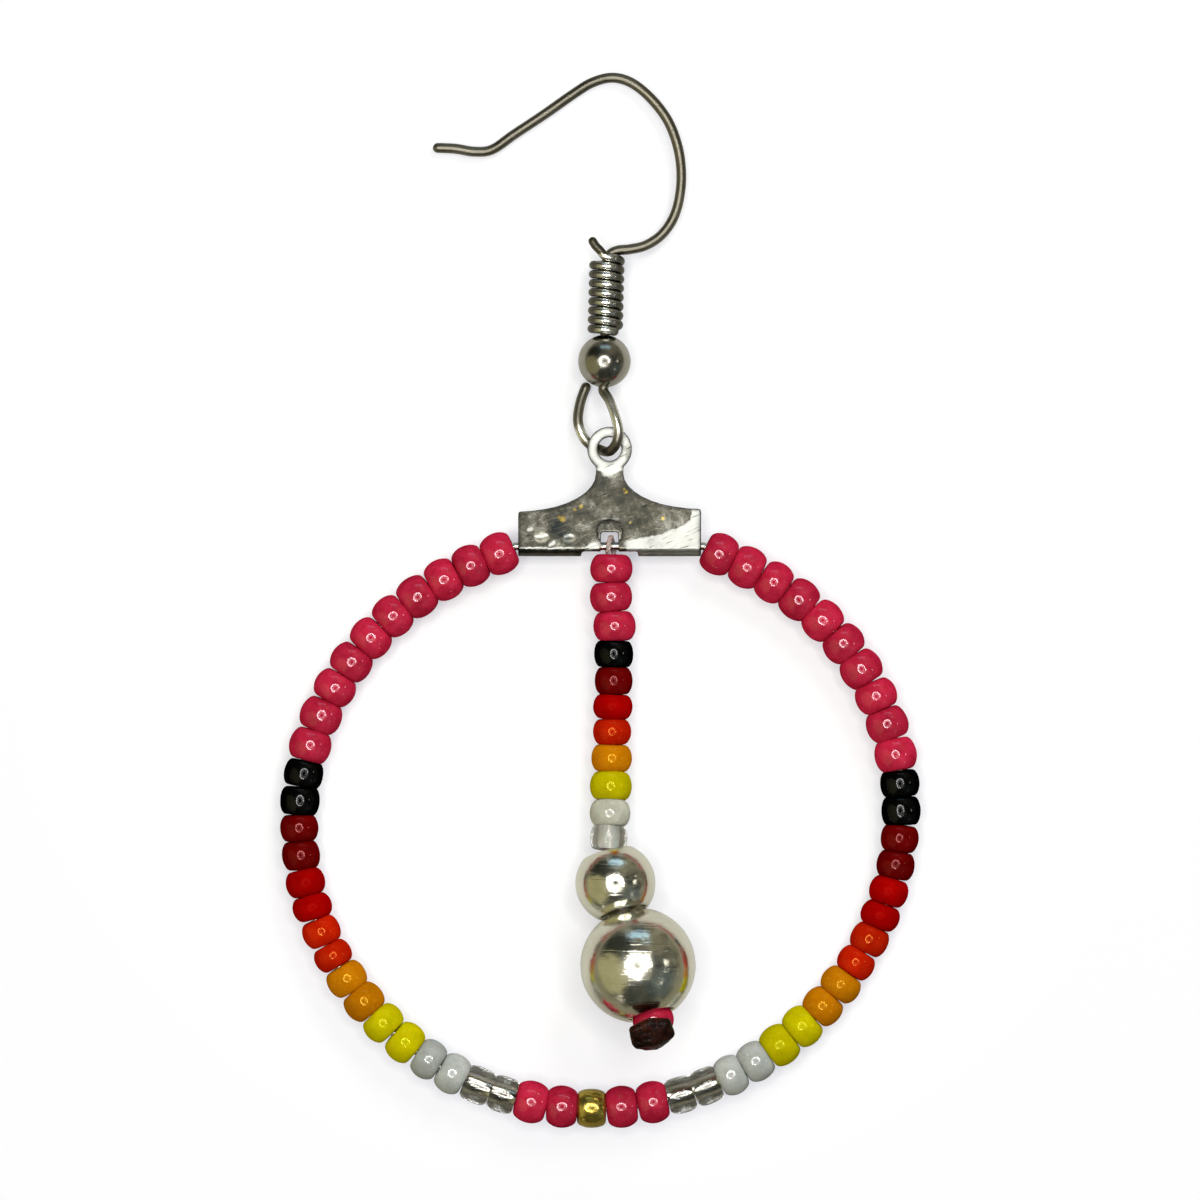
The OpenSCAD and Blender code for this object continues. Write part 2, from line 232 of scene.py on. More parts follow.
def makeBeadTree():
    tree, given, end = newTree("beadRow", "GeometryNodeTree", (
        ("Geometry", "Geometry"), ("Bore Share", "Float", 0.38), ("Middle Share", "Float", 0.52),
        ("Squareness", "Float", 0.9), ("End Flat", "Float", 1.2), ("End Round", "Float", 0.45), ("Around", "Int", 56),
        ("Section Points", "Int", 36), ("Unevenness", "Float", 0.00007), ("Seed", "Float", 1.0),
        ("Finish", "Material"), ("Lining", "Material")), (("Geometry", "Geometry"),))

    # the section, a superellipse one unit long with flat ends, wide on the rim's side of its middle
    section = addNode(tree, "GeometryNodeCurvePrimitiveCircle", (-1400, -200),
                      {"Radius": 1, "Resolution": given["Section Points"]})
    place = addNode(tree, "GeometryNodeInputPosition", (-1400, -420))
    apart = addNode(tree, "ShaderNodeSeparateXYZ", (-1240, -420), {0: place})
    signed = []
    for axis, y in (("X", -420), ("Y", -620)):
        power = mathNode(tree, "POWER", mathNode(tree, "ABSOLUTE", apart.outputs[axis], None, (-1080, y)),
                         given["Squareness"], (-920, y))
        sign = mathNode(tree, "SIGN", apart.outputs[axis], None, (-920, y - 100))
        signed.append(mathNode(tree, "MULTIPLY", power, sign, (-760, y)))
    outer = mathNode(tree, "SUBTRACT", 1.0, given["Middle Share"], (-1080, -900))
    inner = mathNode(tree, "SUBTRACT", given["Middle Share"], given["Bore Share"], (-1080, -1060))
    toRim = mathNode(tree, "MULTIPLY", mathNode(tree, "MAXIMUM", signed[0], 0.0, (-600, -420)), outer, (-440, -420))
    within = mathNode(tree, "MINIMUM", signed[0], 0.0, (-600, -580))
    straight = mathNode(tree, "MAXIMUM", mathNode(tree, "MULTIPLY", within, 1.6, (-600, -660)), -1.0, (-520, -580))
    toBore = mathNode(tree, "MULTIPLY", straight, inner, (-440, -580))
    cut = mathNode(tree, "MULTIPLY", signed[1], given["End Flat"], (-600, -740))
    cut = mathNode(tree, "SMOOTH_MIN", cut, 1.0, (-440, -740), given["End Round"])
    cut = mathNode(tree, "SMOOTH_MAX", cut, -1.0, (-280, -740), given["End Round"])
    moved = addNode(tree, "ShaderNodeCombineXYZ", (-120, -420),
                    {"X": mathNode(tree, "ADD", toRim, toBore, (-280, -420)),
                     "Y": mathNode(tree, "MULTIPLY", cut, 0.5, (-120, -740))})
    shaped = addNode(tree, "GeometryNodeSetPosition", (60, -250), {"Geometry": section, "Position": moved})

    # the bead: the section carried round a circle; its bore side is marked
    circle = addNode(tree, "GeometryNodeCurvePrimitiveCircle", (60, 0),
                     {"Resolution": given["Around"], "Radius": given["Middle Share"]})
    bead = addNode(tree, "GeometryNodeCurveToMesh", (240, 0), {"Curve": circle, "Profile Curve": shaped})
    local = addNode(tree, "GeometryNodeInputPosition", (60, -500))
    flat = addNode(tree, "ShaderNodeVectorMath", (240, -500), {0: local, 1: (1, 1, 0)}, operation="MULTIPLY")
    radius = addNode(tree, "ShaderNodeVectorMath", (400, -500), {0: flat}, operation="LENGTH").outputs["Value"]
    nearBore = mathNode(tree, "LESS_THAN", radius, given["Middle Share"], (560, -400))
    marked = addNode(tree, "GeometryNodeStoreNamedAttribute", (560, 0),
                     {"Geometry": bead, "Name": "boreSide", "Value": nearBore}, data_type="BOOLEAN", domain="FACE")

    # one on each point
    named = {}
    for row, (name, kind) in enumerate((("heading", "FLOAT_VECTOR"), ("girth", "FLOAT"), ("reach", "FLOAT"))):
        named[name] = addNode(tree, "GeometryNodeInputNamedAttribute", (380, 260 + 160 * row), {"Name": name},
                              data_type=kind).outputs["Attribute"]
    aim = addNode(tree, "FunctionNodeAlignRotationToVector", (560, 260), {"Vector": named["heading"]}, axis="Z")
    size = addNode(tree, "ShaderNodeCombineXYZ", (560, 460),
                   {"X": named["girth"], "Y": named["girth"], "Z": named["reach"]})
    put = addNode(tree, "GeometryNodeInstanceOnPoints", (760, 100),
                  {"Points": given["Geometry"], "Instance": marked, "Rotation": aim, "Scale": size})
    realize = addNode(tree, "GeometryNodeRealizeInstances", (940, 100), {"Geometry": put})

    # uneven like drawn glass, then the finish outside and the lining in the bore
    uneven = unevenSurface(tree, given, realize, 800, 0.65, 800)
    finish = addNode(tree, "GeometryNodeSetMaterial", (1620, 100), {"Geometry": uneven, "Material": given["Finish"]})
    boreSide = addNode(tree, "GeometryNodeInputNamedAttribute", (1620, -100), {"Name": "boreSide"},
                       data_type="BOOLEAN").outputs["Attribute"]
    lining = addNode(tree, "GeometryNodeSetMaterial", (1800, 100),
                     {"Geometry": finish, "Selection": boreSide, "Material": given["Lining"]})
    setInputs(tree, end, {"Geometry": lining})
    return tree


wireTree = makeWireTree()
beadTree = makeBeadTree()
print("geometry trees built")


# Shader groups, shared by several finishes

def makeMottle():                       # slow and fine noise mixed to one mask, with a height
    tree, given, end = newTree("mottle", "ShaderNodeTree", (
        ("Slow Scale", "Float", 900.0), ("Fine Scale", "Float", 6000.0), ("Fine Share", "Float", 0.4),
        ("Contrast", "Float", 1.0)), (("Mask", "Float"), ("Height", "Float")))
    place = addNode(tree, "ShaderNodeTexCoord", (-900, 260)).outputs["Object"]
    slow = addNode(tree, "ShaderNodeTexNoise", (-640, 200),
                   {"Vector": place, "Scale": given["Slow Scale"], "Detail": 3}).outputs["Fac"]
    fine = addNode(tree, "ShaderNodeTexNoise", (-640, -60),
                   {"Vector": place, "Scale": given["Fine Scale"], "Detail": 4, "Roughness": 0.6}).outputs["Fac"]
    both = addNode(tree, "ShaderNodeMix", (-400, 80), {0: given["Fine Share"], 2: slow, 3: fine},
                   data_type="FLOAT").outputs[0]
    centred = mathNode(tree, "SUBTRACT", both, 0.5, (-200, 80))
    mask = mathNode(tree, "MULTIPLY_ADD", centred, given["Contrast"], (0, 80), 0.5, clamp=True)
    setInputs(tree, end, {"Mask": mask, "Height": both})
    return tree


def makeScratches():                    # thin lines along one direction, broken up by noise
    tree, given, end = newTree("scratches", "ShaderNodeTree", (
        ("Turn", "Float", 0.0), ("Across", "Float", 9000.0), ("Along", "Float", 500.0), ("Amount", "Float", 0.6)),
        (("Mask", "Float"),))
    place = addNode(tree, "ShaderNodeTexCoord", (-900, 260)).outputs["Object"]
    turned = addNode(tree, "ShaderNodeVectorRotate", (-700, 260), {"Vector": place, "Angle": given["Turn"]},
                     rotation_type="Z_AXIS")
    scale = addNode(tree, "ShaderNodeCombineXYZ", (-700, 60),
                    {"X": given["Along"], "Y": given["Across"], "Z": given["Along"]})
    stretched = addNode(tree, "ShaderNodeVectorMath", (-500, 200), {0: turned, 1: scale}, operation="MULTIPLY")
    streaks = addNode(tree, "ShaderNodeTexNoise", (-320, 200), {"Vector": stretched, "Scale": 1, "Detail": 2})
    edge = mapTo(tree, (-100, 200), streaks.outputs["Fac"], 0.0, 1.0, 0.58, 0.72)
    setInputs(tree, end, {"Mask": mathNode(tree, "MULTIPLY", edge, given["Amount"], (100, 200))})
    return tree


mottleGroup = makeMottle()
scratchGroup = makeScratches()


def mottled(tree, where, slow=900.0, fine=6000.0, fineShare=0.4, contrast=1.0):
    return addNode(tree, "ShaderNodeGroup", where, {"Slow Scale": slow, "Fine Scale": fine, "Fine Share": fineShare,
                                                    "Contrast": contrast}, node_tree=mottleGroup).outputs


def scratched(tree, where, **values):
    return addNode(tree, "ShaderNodeGroup", where, values, node_tree=scratchGroup).outputs["Mask"]


def newMaterial(name, plain):
    material = bpy.data.materials.new(name)
    material.use_nodes = True
    shader = material.node_tree.nodes["Principled BSDF"]
    setInputs(material.node_tree, shader, plain)
    return material, material.node_tree, shader


# Glass of the seed beads

def beadGlass(name, dark, light, tone=0.0, rough=(0.06, 0.11), gloss=0.8, tint=(1, 1, 1), metallic=0.0):
    material, tree, shader = newMaterial(name, {"IOR": 1.6, "Metallic": metallic, "Specular Tint": tint,
                                                "Subsurface Weight": 0.15, "Subsurface Scale": 0.0003})
    mottle = mottled(tree, (-900, 100), 1500.0, 7000.0, 0.4, 3.0)
    colour = ramp(tree, (-640, 200), mottle["Mask"], (0.0, dark), (1.0, light))
    value = mapTo(tree, (-640, -60), readMark(tree, (-900, -160), "shade"), 1.0 - tone, 1.0 + tone)
    facing = addNode(tree, "ShaderNodeLayerWeight", (-640, -520), {"Blend": 0.35}).outputs["Facing"]
    setInputs(tree, shader, {
        "Base Color": addNode(tree, "ShaderNodeHueSaturation", (-360, 200), {"Color": colour, "Value": value}),
        "Specular IOR Level": mapTo(tree, (-440, -520), facing, gloss, 0.0, 0.04, 0.24),    # it dies away at the rim
        "Roughness": mapTo(tree, (-640, -300), mottle["Height"], *rough),
        "Normal": bump(tree, (-300, -300), mottle["Height"], 0.000004)})
    return material


glass = {
    "pink": beadGlass("pinkGlass", (0.34, 0.007, 0.028), (0.55, 0.02, 0.06), 0.1, tint=(1, 0.75, 0.8)),
    "black": beadGlass("blackGlass", (0.0005, 0.0005, 0.0005), (0.001, 0.001, 0.001), 0.1, (0.05, 0.08), gloss=0.24),
    "dark_red": beadGlass("darkRedGlass", (0.09, 0.0002, 0.0003), (0.14, 0.0004, 0.0006), 0.1, gloss=0.35,
                          tint=(1, 0.35, 0.35)),
    "red": beadGlass("redGlass", (0.26, 0.0002, 0.0002), (0.35, 0.0004, 0.0004), 0.1, (0.2, 0.32), gloss=0.12,
                     tint=(1, 0.08, 0.05)),
    "orange": beadGlass("orangeGlass", (0.39, 0.007, 0.0005), (0.54, 0.015, 0.001), 0.1, gloss=0.45,
                        tint=(1, 0.4, 0.08)),
    "amber": beadGlass("amberGlass", (0.42, 0.135, 0.0005), (0.54, 0.185, 0.001), 0.1, gloss=0.5,
                       tint=(1, 0.7, 0.08)),
    "yellow": beadGlass("yellowGlass", (0.42, 0.365, 0.0003), (0.55, 0.49, 0.0005), 0.08, gloss=0.4,
                        tint=(1, 1, 0.1)),
    "white": beadGlass("milkGlass", (0.32, 0.335, 0.31), (0.46, 0.48, 0.45), 0.12),
    "gold": beadGlass("goldGlass", (0.2, 0.13, 0.008), (0.75, 0.58, 0.12), 0.0, (0.12, 0.25), metallic=0.9),
}
warmWhite = beadGlass("warmMilkGlass", (0.4, 0.4, 0.32), (0.56, 0.56, 0.46), 0.12)
paleLining = beadGlass("paleLining", (0.66, 0.66, 0.6), (0.9, 0.9, 0.84))


def makeClearGlass():
    material, tree, shader = newMaterial("clearGlass", {"Base Color": (0.9, 0.9, 0.88), "Roughness": 0.05,
                                                        "IOR": 1.5, "Transmission Weight": 1.0})
    mottle = mottled(tree, (-700, -200), 1200.0, 5000.0)
    setInputs(tree, shader, {"Normal": bump(tree, (-300, -300), mottle["Height"], 0.00002)})
    return material


glass["crystal"] = makeClearGlass()


# Metals

def metal(name, dark, light, rough, scratch, dent=0.00001, slow=700.0, fine=9000.0, marked=False):
    material, tree, shader = newMaterial(name, {"Metallic": 1.0})
    mottle = mottled(tree, (-1000, 100), slow, fine, 0.35, 2.2)
    lines = scratched(tree, (-1000, -200), Amount=scratch)
    colour = ramp(tree, (-740, 200), mottle["Mask"], (0.0, dark), (1.0, light))
    roughness = mathNode(tree, "MULTIPLY_ADD", lines, 0.25, (-480, -120),
                         mapTo(tree, (-740, -60), mottle["Mask"], *rough))
    if marked:                          # two marks: a painted highlight that also smooths the metal, and painted shade with some tarnish
        polishAndHighlight = readMark(tree, (-740, 480), "polishAndHighlight")
        colour = mixColour(tree, (-480, 320), polishAndHighlight, colour, (0.82, 0.81, 0.74))
        colour = mixColour(tree, (-300, 320), readMark(tree, (-740, 660), "tarnishAndShade"), colour, (0.03, 0.028, 0.018))
        roughness = mathNode(tree, "MULTIPLY_ADD", polishAndHighlight, -0.14, (-300, -120), roughness)
    height = mathNode(tree, "SUBTRACT", mottle["Height"], lines, (-480, -320))
    setInputs(tree, shader, {"Base Color": colour, "Roughness": roughness,
                             "Normal": bump(tree, (-260, -320), height, dent)})
    return material


hookSteel = metal("hookSteel", (0.13, 0.12, 0.085), (0.25, 0.23, 0.18), (0.3, 0.42), 0.3, marked=True)
ballSteel = metal("ballSteel", (0.24, 0.23, 0.19), (0.46, 0.44, 0.38), (0.16, 0.24), 0.2)
mirrorSilver = metal("mirrorSilver", (0.64, 0.62, 0.5), (0.88, 0.86, 0.74), (0.1, 0.24), 0.1, 0.00005, 600.0, 2600.0)
wireSteel = metal("wireSteel", (0.34, 0.32, 0.27), (0.6, 0.58, 0.52), (0.12, 0.25), 0.3)
boreSilver = metal("boreSilver", (0.3, 0.28, 0.24), (0.7, 0.68, 0.62), (0.1, 0.22), 0.1)


def makeSheetSilver():                  # dark sheet; marks: white and scratched, wear and painted highlight; gold flecks; nearly black painted shade
    material, tree, shader = newMaterial("sheetSilver", {"Metallic": 1.0})
    mottle = mottled(tree, (-1200, 200), 1000.0, 6000.0, 0.35, 2.6)
    lines = scratched(tree, (-1200, -100), Turn=-0.35, Amount=1.0, Along=1300.0, Across=12000.0)
    field = ramp(tree, (-900, 200), mottle["Mask"], (0.0, (0.06, 0.07, 0.065)), (0.45, (0.14, 0.132, 0.1)),
                 (0.75, (0.22, 0.21, 0.165)), (1.0, (0.34, 0.33, 0.28)))
    scraped = mathNode(tree, "MULTIPLY_ADD", mottle["Mask"], 0.4, (-1040, -60),
                       mathNode(tree, "MULTIPLY_ADD", lines, -1.0, (-1040, 40), -0.2))
    # white and scratched: real wear mixed with painted highlight
    wearAndHighlight = mathNode(tree, "MULTIPLY_ADD", readMark(tree, (-1200, -360), "wearAndHighlight"), 1.05, (-900, -100), scraped,
                    clamp=True)
    colour = mixColour(tree, (-640, 200), wearAndHighlight, field, (0.52, 0.52, 0.48))
    colour = mixColour(tree, (-460, 200), readMark(tree, (-1200, -540), "fleck"), colour, (0.85, 0.6, 0.09))
    # painted shade, nearly black, on sides and edges
    colour = mixColour(tree, (-280, 200), readMark(tree, (-1200, -720), "edgeShade"), colour, (0.012, 0.012, 0.01))
    rough = mathNode(tree, "MULTIPLY_ADD", lines, 0.05, (-640, -100),
                     mapTo(tree, (-640, -300), mottle["Mask"], 0.2, 0.26))
    height = mathNode(tree, "MULTIPLY_ADD", lines, -0.2, (-460, -320), mottle["Height"])
    setInputs(tree, shader, {"Base Color": colour,
                             "Roughness": mathNode(tree, "MULTIPLY_ADD", wearAndHighlight, 0.14, (-460, -100), rough),
                             "Normal": bump(tree, (-260, -320), height, 0.000006)})
    return material


def threadFinish(name, plain, mottling, stops, rough, dent):
    material, tree, shader = newMaterial(name, plain)
    mottle = mottled(tree, (-800, 0), *mottling)
    setInputs(tree, shader, {"Base Color": ramp(tree, (-500, 100), mottle["Mask"], *stops),
                             "Roughness": mapTo(tree, (-500, -200), mottle["Mask"], *rough),
                             "Normal": bump(tree, (-260, -320), mottle["Height"], dent)})
    return material


sheetSilver = makeSheetSilver()
nylon = threadFinish("nylon", {"IOR": 1.5, "Transmission Weight": 0.45, "Subsurface Weight": 0.3,
                               "Subsurface Scale": 0.0003}, (1800.0, 6000.0, 0.4, 2.0),
                     ((0.0, (0.62, 0.42, 0.4)), (1.0, (0.85, 0.74, 0.7))), (0.2, 0.4), 0.00001)
burnt = threadFinish("burntThread", {"IOR": 1.4, "Specular IOR Level": 0.2}, (900.0, 4000.0, 0.4, 3.0),
                     ((0.0, (0.002, 0.0006, 0.0003)), (0.5, (0.008, 0.002, 0.001)), (1.0, (0.055, 0.01, 0.003))),
                     (0.2, 0.45), 0.00004)
print("finishes built")


# Floor, light and camera

stageSizes = {"floor": 1.6, "cameraHeight": 0.42, "frameWidth": 0.06, "sensor": 36.0, "floorGlow": 1.04,
              "farGlow": 0.75, "near": 0.02, "far": 0.03}
ring = {"height": 0.32, "lampSize": 0.034,
        "rows": [(0.115, 16, 0.056), (0.065, 8, 0.012)],        # radius, number of lamps, power of each
        "dim": (13, 14, 15), "dimShare": 0.16}                  # the outer row is nearly open at its lower right
lamps = [        # name, place, width, height (0 for a disk), power, colour, seen in gloss
    ("softLight", (0.2, 0.32, 0.3), 0.24, 0, 1.0, (1, 1, 1), False),        # the soft shadow to the lower left
    ("roomLight", (-0.5, -0.1, 0.24), 0.6, 0.4, 0.2, (1.0, 0.93, 0.72), False),
    ("windowLight", (0.03, 0.6, 0.28), 0.42, 0.15, 0.24, (0.45, 0.72, 1.0), True),
    ("floorLamp", (0.3, 0.01, 0.18), 0.03, 0, 0.02, (1.0, 0.96, 0.88), True),
    ("shelfLamp", (0.27, -0.2, 0.2), 0.02, 0, 0.006, (1.0, 0.96, 0.9), True),
    ("deskLamp", (-0.18, -0.36, 0.08), 0.03, 0, 0.008, (1.0, 0.92, 0.8), True)]
patches = [      # the room's large patches: direction, where they begin, strength, colour
    ((-0.62, 0.62, 0.5), 0.9, 0.85, (0.02, 0.025, 0.02)), ((0.05, -0.85, 0.5), 0.87, 0.8, (0.035, 0.04, 0.035)),
    ((0.7, -0.5, 0.5), 0.92, 0.8, (0.12, 0.15, 0.16)), ((0.45, 0.75, 0.45), 0.93, 0.7, (0.3, 0.28, 0.2)),
    ((-0.8, -0.25, 0.5), 0.84, 0.85, (0.46, 0.43, 0.24))]


def makeFloor():
    half = stageSizes["floor"] / 2
    mesh = bpy.data.meshes.new("floor")
    mesh.from_pydata([(-half, -half, 0), (half, -half, 0), (half, half, 0), (-half, half, 0)], [], [(0, 1, 2, 3)])
    floor = newObject("floor", mesh)
    material, tree, shader = newMaterial("floorPaper", {"Specular IOR Level": 0.2,
                                                        "Emission Color": (0.4, 0.405, 0.45)})
    mottle = mottled(tree, (-800, 0), 30.0, 2500.0, 0.5)
    place = addNode(tree, "ShaderNodeTexCoord", (-1100, 400)).outputs["Object"]
    away = addNode(tree, "ShaderNodeVectorMath", (-900, 400), {0: place}, operation="LENGTH").outputs["Value"]
    far = mapTo(tree, (-700, 400), away, 0.0, 1.0, stageSizes["near"], stageSizes["far"])
    paper = ramp(tree, (-500, 100), mottle["Mask"], (0.0, (0.58, 0.575, 0.54)), (1.0, (0.62, 0.615, 0.58)))
    seen = addNode(tree, "ShaderNodeLightPath", (-700, -460)).outputs["Is Camera Ray"]      # washed out to white
    glow = mathNode(tree, "MULTIPLY_ADD", far, stageSizes["farGlow"], (-500, -560), stageSizes["floorGlow"])
    setInputs(tree, shader, {
        "Base Color": mixColour(tree, (-240, 200), far, paper, (0.24, 0.23, 0.17)),         # duller further away
        "Roughness": mapTo(tree, (-500, -200), mottle["Mask"], 0.6, 0.8),
        "Emission Strength": mathNode(tree, "MULTIPLY", seen, glow, (-260, -460))})
    mesh.materials.append(material)


def areaLight(name, place, width, height, power, colour, inGloss):
    data = bpy.data.lights.new(name, "AREA")
    data.shape = "RECTANGLE" if height else "DISK"
    data.size = width
    if height:
        data.size_y = height
    data.energy = power
    data.color = colour
    lamp = newObject(name, data)
    lamp.location = place
    lamp.rotation_euler = (-Vector(place)).to_track_quat("-Z", "Y").to_euler()
    lamp.visible_glossy = inGloss


def makeLights():
    for row, (radius, number, power) in enumerate(ring["rows"]):
        for k in range(number):
            angle = 2 * pi * (k + 0.5 * row) / number
            dimmed = ring["dimShare"] if row == 0 and k in ring["dim"] else 1
            areaLight(f"ringLamp{row}-{k}", (radius * cos(angle), radius * sin(angle), ring["height"]),
                      ring["lampSize"], 0, power * dimmed, (1, 1, 1), True)
    for lamp in lamps:
        areaLight(*lamp)


def makeRoom():                         # the dim room round the table, patchy like a real one
    world = bpy.data.worlds.new("room")
    world.use_nodes = True
    tree = world.node_tree
    place = addNode(tree, "ShaderNodeTexCoord", (-800, 0)).outputs["Object"]
    blur = addNode(tree, "ShaderNodeTexNoise", (-600, 0), {"Vector": place, "Scale": 2.6, "Detail": 3,
                                                           "Distortion": 0.6}).outputs["Fac"]
    colour = ramp(tree, (-400, 0), blur, (0.36, (0.008, 0.009, 0.009)), (0.46, (0.06, 0.065, 0.055)),
                  (0.56, (0.18, 0.17, 0.125)), (0.68, (0.36, 0.35, 0.29)))
    for row, (toward, begin, strength, tone) in enumerate(patches):
        y = -200 - 160 * row
        near = addNode(tree, "ShaderNodeVectorMath", (-600, y), {0: place, 1: Vector(toward).normalized()},
                       operation="DOT_PRODUCT").outputs["Value"]
        spread = mathNode(tree, "MULTIPLY_ADD", blur, 0.12, (-500, y), near)
        inside = mapTo(tree, (-420, y), spread, 0.0, strength, begin, begin + 0.09)
        colour = mixColour(tree, (-240 + 40 * row, y), inside, colour, tone)
    setInputs(tree, tree.nodes["Background"], {"Color": colour, "Strength": 1.0})
    bpy.context.scene.world = world


def makeCamera():
    data = bpy.data.cameras.new("camera")
    data.sensor_width = stageSizes["sensor"]
    data.lens = stageSizes["sensor"] * stageSizes["cameraHeight"] / stageSizes["frameWidth"]
    camera = newObject("camera", data)
    camera.location = (0, 0, stageSizes["cameraHeight"])
    bpy.context.scene.camera = camera


makeFloor()
makeLights()
makeRoom()
makeCamera()
bpy.context.scene.view_settings.view_transform = "Standard"
print("stage set")


# Wires and bead rows

def pathObject(name, points, thickness=None, closed=False):
    edges = [(i, i + 1) for i in range(len(points) - 1)] + ([(len(points) - 1, 0)] if closed else [])
    mesh = bpy.data.meshes.new(name)
    mesh.from_pydata([toMetres(p) for p in points], edges, [])
    fillAttribute(mesh, "thickness", thickness or [1.0] * len(points))
    return newObject(name, mesh)


wireTip = {"places": (0.0, 0.04, 0.12, 0.25, 0.42, 0.65, 1.0), "clear": 1.3, "thinnest": 0.06}     # in radii


def roundedTips(points, radius):        # closer points at both ends of a wire, thinning to a round tip
    lengths = alongRoute(points)
    total = lengths[-1]
    tip = [place * radius for place in wireTip["places"]]
    clear = wireTip["clear"] * radius
    stops = tip + [s for s in lengths if clear < s < total - clear] + [total - s for s in reversed(tip)]
    thickness = []
    for s in stops:
        fromFull = 1 - min(s, total - s, radius) / radius
        thickness.append(max(sqrt(max(1 - fromFull ** 2, 0.0)), wireTip["thinnest"]))
    return [pointAlong(points, lengths, s) for s in stops], thickness


def makeWire(name, slotName, node, points, radius, sides, material, thickness=None, closed=False, uneven=0.0):
    wire = pathObject(name, points, thickness, closed)
    grownBy(wire, wireTree, Radius=radius * mm, Sides=sides, Unevenness=uneven * mm, Finish=material)
    return placeCad(wire, slotName, node) if node else wire


def beadRow(name, slotName, node, kindName, beads, seed=1.0, **look):
    mesh = bpy.data.meshes.new(name)
    mesh.from_pydata([toMetres(b["place"]) for b in beads], [], [])
    mesh.attributes.new("heading", "FLOAT_VECTOR", "POINT").data.foreach_set(
        "vector", [c for b in beads for c in b["heading"]])
    for key, unit in (("girth", 0.99 * mm), ("reach", mm), ("shade", 1.0)):     # the girth stays inside the solid
        fillAttribute(mesh, key, [b[key] * unit for b in beads])
    row = newObject(name, mesh)
    middle, flat, square, rounding = shapes[kindName]
    lining = boreSilver if kindName == "crystal" else glass[kindName]
    grownBy(row, beadTree, **{"Finish": glass[kindName], "Lining": lining, "Seed": seed, "Middle Share": middle,
                              "End Flat": flat, "Squareness": square, "End Round": rounding, **look})
    return placeCad(row, slotName, node)


# The hoop: its wire and its beads

hoop = {"radius": 14.64, "oval": 0.42, "ovalTurn": 13, "flat": 0.08, "wireRadius": 0.2, "wireHeight": 1.09,
        "firstAngle": 64, "lastAngle": -248, "step": 4, "connectorX": 0.48, "barWidth": 9.15, "barClear": 0.12,
        "wireY": 13.68, "gap": 0.2, "gapShown": -0.045, "openAfter": (26, 34, 35, 39), "openGap": 0.05,
        "uneven": 0.05, "tilt": 0.03}
kinds = {"pink": (1.08, 1.36), "black": (1.0, 1.18), "dark_red": (0.97, 1.2), "red": (1.01, 1.1),
         "orange": (0.98, 1.14), "amber": (1.04, 1.22), "yellow": (1.07, 1.27), "white": (1.04, 1.24),
         "crystal": (0.94, 1.15), "gold": (1.0, 1.3)}       # radius, length
shapes = {"pink": (0.4, 1.11, 1.0, 0.25), "black": (0.46, 1.13, 0.91, 0.25), "dark_red": (0.43, 1.12, 0.97, 0.25),
          "red": (0.42, 1.1, 1.0, 0.25), "orange": (0.43, 1.11, 0.98, 0.25), "amber": (0.42, 1.11, 0.99, 0.25),
          "yellow": (0.43, 1.12, 0.98, 0.25), "white": (0.43, 1.11, 0.98, 0.25), "crystal": (0.55, 1.12, 0.8, 0.25),
          "gold": (0.5, 1.14, 0.92, 0.3)}       # the section: middle, end flat, squareness, end rounding
side = [("pink", 10), ("black", 2), ("dark_red", 2), ("red", 2), ("orange", 2), ("amber", 2), ("yellow", 2),
        ("white", 2), ("crystal", 2), ("low_pink", 2)]
runs = ([("hoop_right_" + name, name, count) for name, count in side] + [("hoop_gold", "gold", 1)]
        + [("hoop_left_" + name, name, count) for name, count in reversed(side)])


def kindOf(name):
    return name.replace("low_", "")


def hoopPoint(angle):
    a = radians(angle)
    r = hoop["radius"] + hoop["oval"] * cos(2 * (a - radians(hoop["ovalTurn"]))) + hoop["flat"] * sin(3 * a)
    return Vector((r * cos(a), r * sin(a), 0))


def hoopRoute(step):
    ends = [Vector((hoop["connectorX"] + s * (hoop["barWidth"] / 2 + hoop["barClear"]), hoop["wireY"], 0))
            for s in (1, -1)]
    number = int((hoop["firstAngle"] - hoop["lastAngle"]) / step)
    return [ends[0]] + [hoopPoint(hoop["firstAngle"] - step * k) for k in range(number + 1)] + [ends[1]]


def makeHoop():
    route = hoopRoute(hoop["step"])
    lengths = alongRoute(route)
    order = [kindOf(name) for _, name, number in runs for _ in range(number)]
    raw = [kinds[k][1] * (1 + hoop["uneven"] * unevenness(i)) for i, k in enumerate(order)]
    fill = (lengths[-1] - (len(order) + 1) * hoop["gap"]) / sum(raw)
    beads = []
    begin = 0.0
    for i, (kindName, length) in enumerate(zip(order, raw)):
        length *= fill
        middle = begin + hoop["gap"] + length / 2
        heading = (pointAlong(route, lengths, middle + length / 2)
                   - pointAlong(route, lengths, middle - length / 2)).normalized()
        heading += hoop["tilt"] * Vector((unevenness(i + 3) * -heading.y, unevenness(i + 3) * heading.x,
                                          unevenness(i + 31)))
        girth = kinds[kindName][0]
        place = pointAlong(route, lengths, middle)
        shorter = hoop["gapShown"] + hoop["openGap"] * ((i in hoop["openAfter"]) + (i - 1 in hoop["openAfter"]))
        beads.append({"place": (place.x, place.y, girth), "heading": heading.normalized(), "girth": girth,
                      "reach": length + hoop["gap"] - shorter, "shade": 0.5 + 0.5 * unevenness(i + 7)})
        begin += hoop["gap"] + length
    done = 0
    for i, (node, name, number) in enumerate(runs):
        beadRow(node.replace("hoop_", "beads_"), "bead_" + kindOf(name), node, kindOf(name),
                beads[done:done + number], seed=float(i))
        done += number
    makeWire("hoopWireRound", "hoop_metal", "hoop_wire",
             [Vector((p.x, p.y, hoop["wireHeight"])) for p in hoopRoute(2)], hoop["wireRadius"], 16, wireSteel,
             closed=True)
    print("hoop strung:", len(beads), "beads")


makeHoop()


# The ear hook, its coil and its ball

